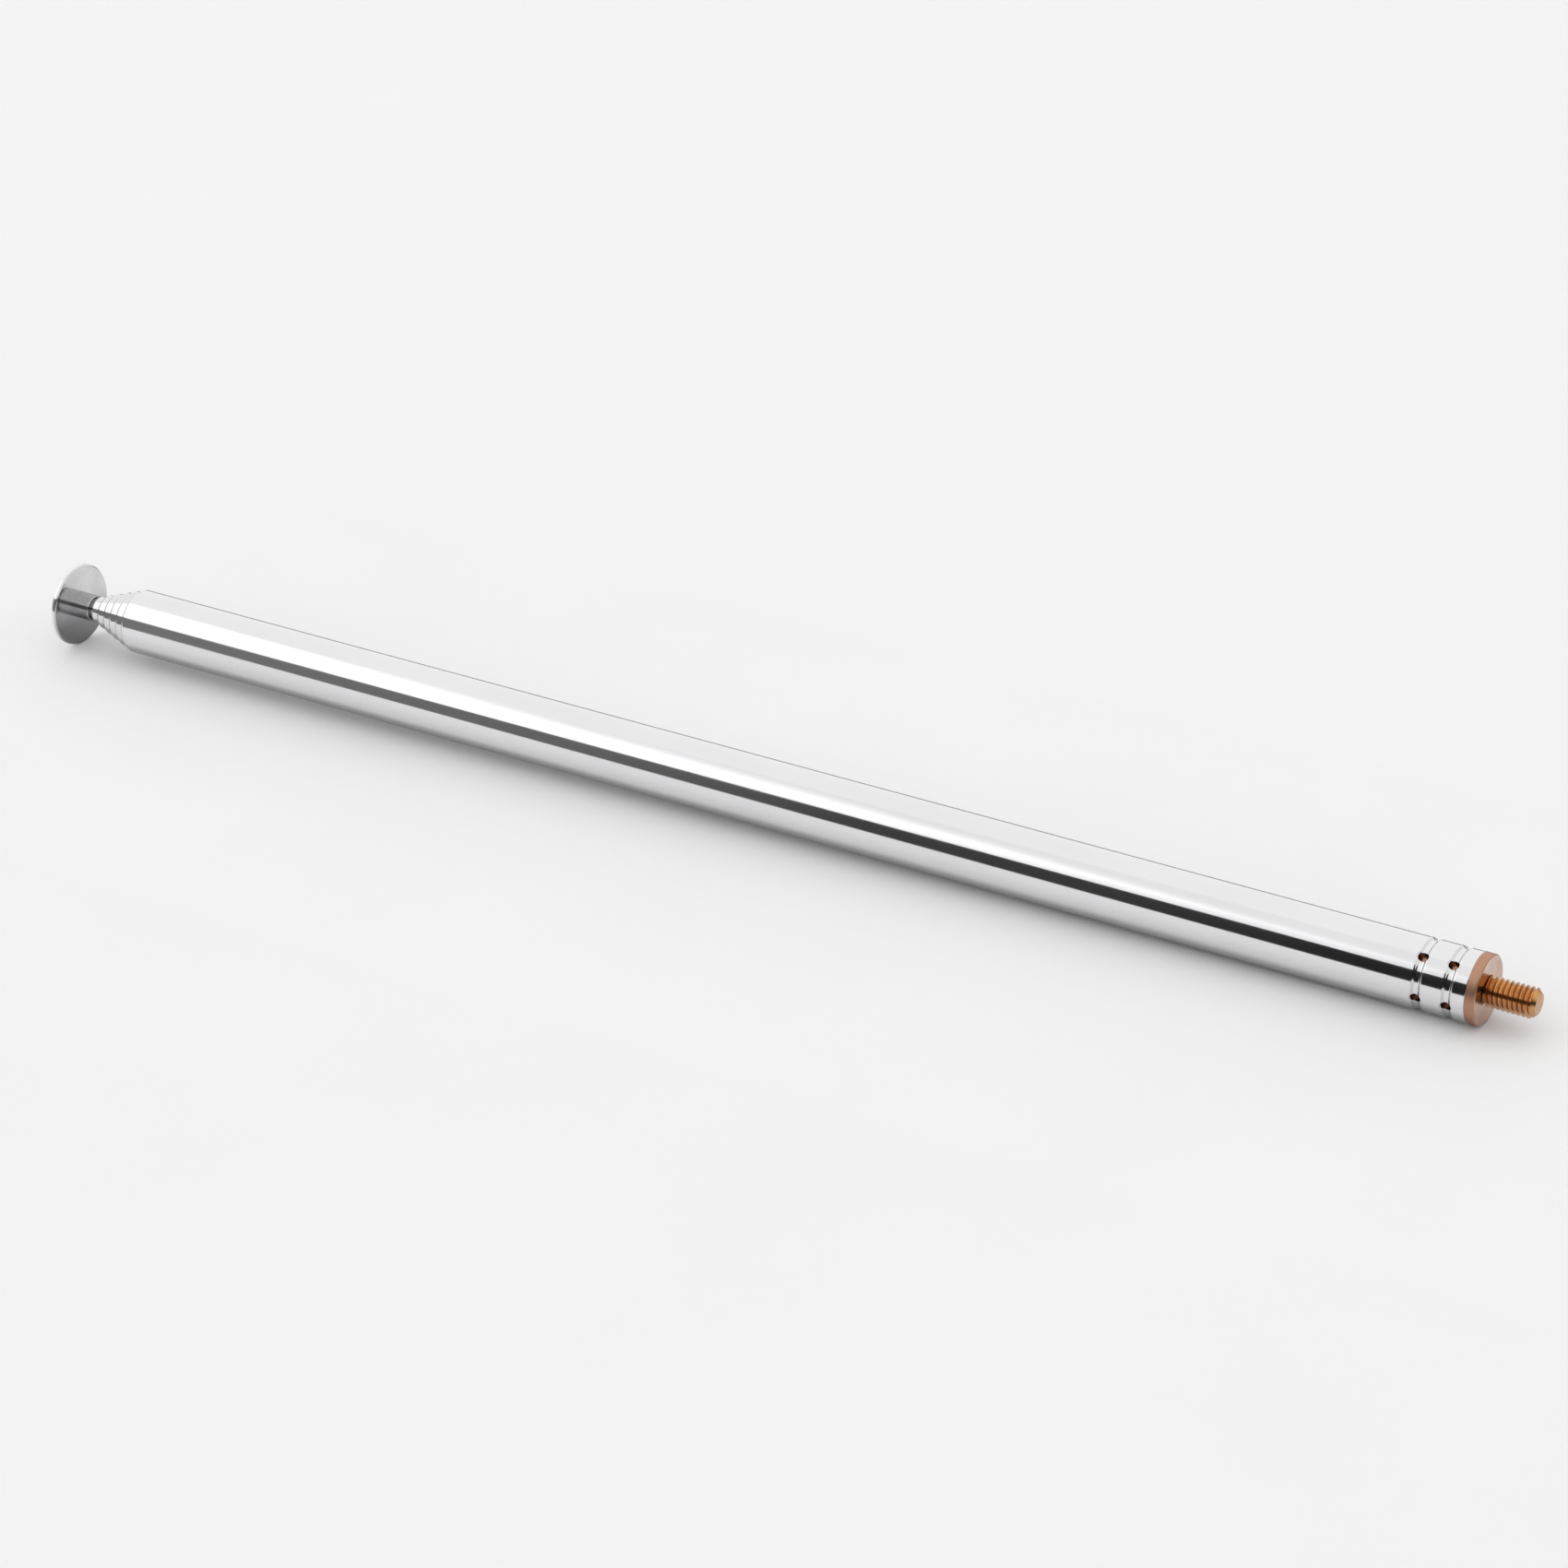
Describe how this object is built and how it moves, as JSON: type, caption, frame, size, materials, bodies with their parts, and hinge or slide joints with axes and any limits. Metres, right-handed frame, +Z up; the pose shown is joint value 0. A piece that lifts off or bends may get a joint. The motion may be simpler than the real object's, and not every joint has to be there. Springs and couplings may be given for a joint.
{
  "type": "telescopic rod antenna",
  "caption": "Telescopic rod antenna pushed fully in, with nested chrome tubes, a round tip button and a threaded stud at its base.",
  "frame": {"origin": "centre of the plug flange's front face, where the part that the stud screws into seats", "axes": "+X along the stud, away from the tube; -X along the rod to its tip; +Z up, with the rod lying level"},
  "size_m": [0.1723, 0.009, 0.009],
  "materials": {
    "chrome_plate": "bright polished chrome plate with faint rubbing and specks",
    "copper_plug": "turned copper-coloured metal, satin",
    "brass_stud": "cut thread, lightly tarnished",
    "foot_brass": "turned, bright",
    "spring_bronze": "rolled spring strip"
  },
  "bodies": {
    "base": {"outer_tube": "chrome_plate", "base_plug": "copper_plug", "threaded_stud": "brass_stud"},
    "section_2": {"tube_2": "chrome_plate", "tube_2_foot": "foot_brass", "tube_2_contact": "spring_bronze"},
    "section_3": {"tube_3": "chrome_plate", "tube_3_foot": "foot_brass", "tube_3_contact": "spring_bronze"},
    "section_4": {"tube_4": "chrome_plate", "tube_4_foot": "foot_brass", "tube_4_contact": "spring_bronze"},
    "section_5": {"tube_5": "chrome_plate", "tube_5_foot": "foot_brass", "tube_5_contact": "spring_bronze"},
    "section_6": {"tube_6": "chrome_plate", "tube_6_foot": "foot_brass", "tube_6_contact": "spring_bronze"},
    "tip": {"tip_rod": "chrome_plate", "tip_rod_foot": "foot_brass", "tip_rod_contact": "spring_bronze", "tip_button": "chrome_plate"}
  },
  "joints": [
    {"name": "section_2_slide", "type": "slide", "parent": "base", "child": "section_2", "axis": [-1, 0, 0], "range_m": [0, 0.1421]},
    {"name": "section_3_slide", "type": "slide", "parent": "section_2", "child": "section_3", "axis": [-1, 0, 0], "range_m": [0, 0.1412]},
    {"name": "section_4_slide", "type": "slide", "parent": "section_3", "child": "section_4", "axis": [-1, 0, 0], "range_m": [0, 0.1403]},
    {"name": "section_5_slide", "type": "slide", "parent": "section_4", "child": "section_5", "axis": [-1, 0, 0], "range_m": [0, 0.1394]},
    {"name": "section_6_slide", "type": "slide", "parent": "section_5", "child": "section_6", "axis": [-1, 0, 0], "range_m": [0, 0.1385]},
    {"name": "tip_slide", "type": "slide", "parent": "section_6", "child": "tip", "axis": [-1, 0, 0], "range_m": [0, 0.1376]}
  ]
}
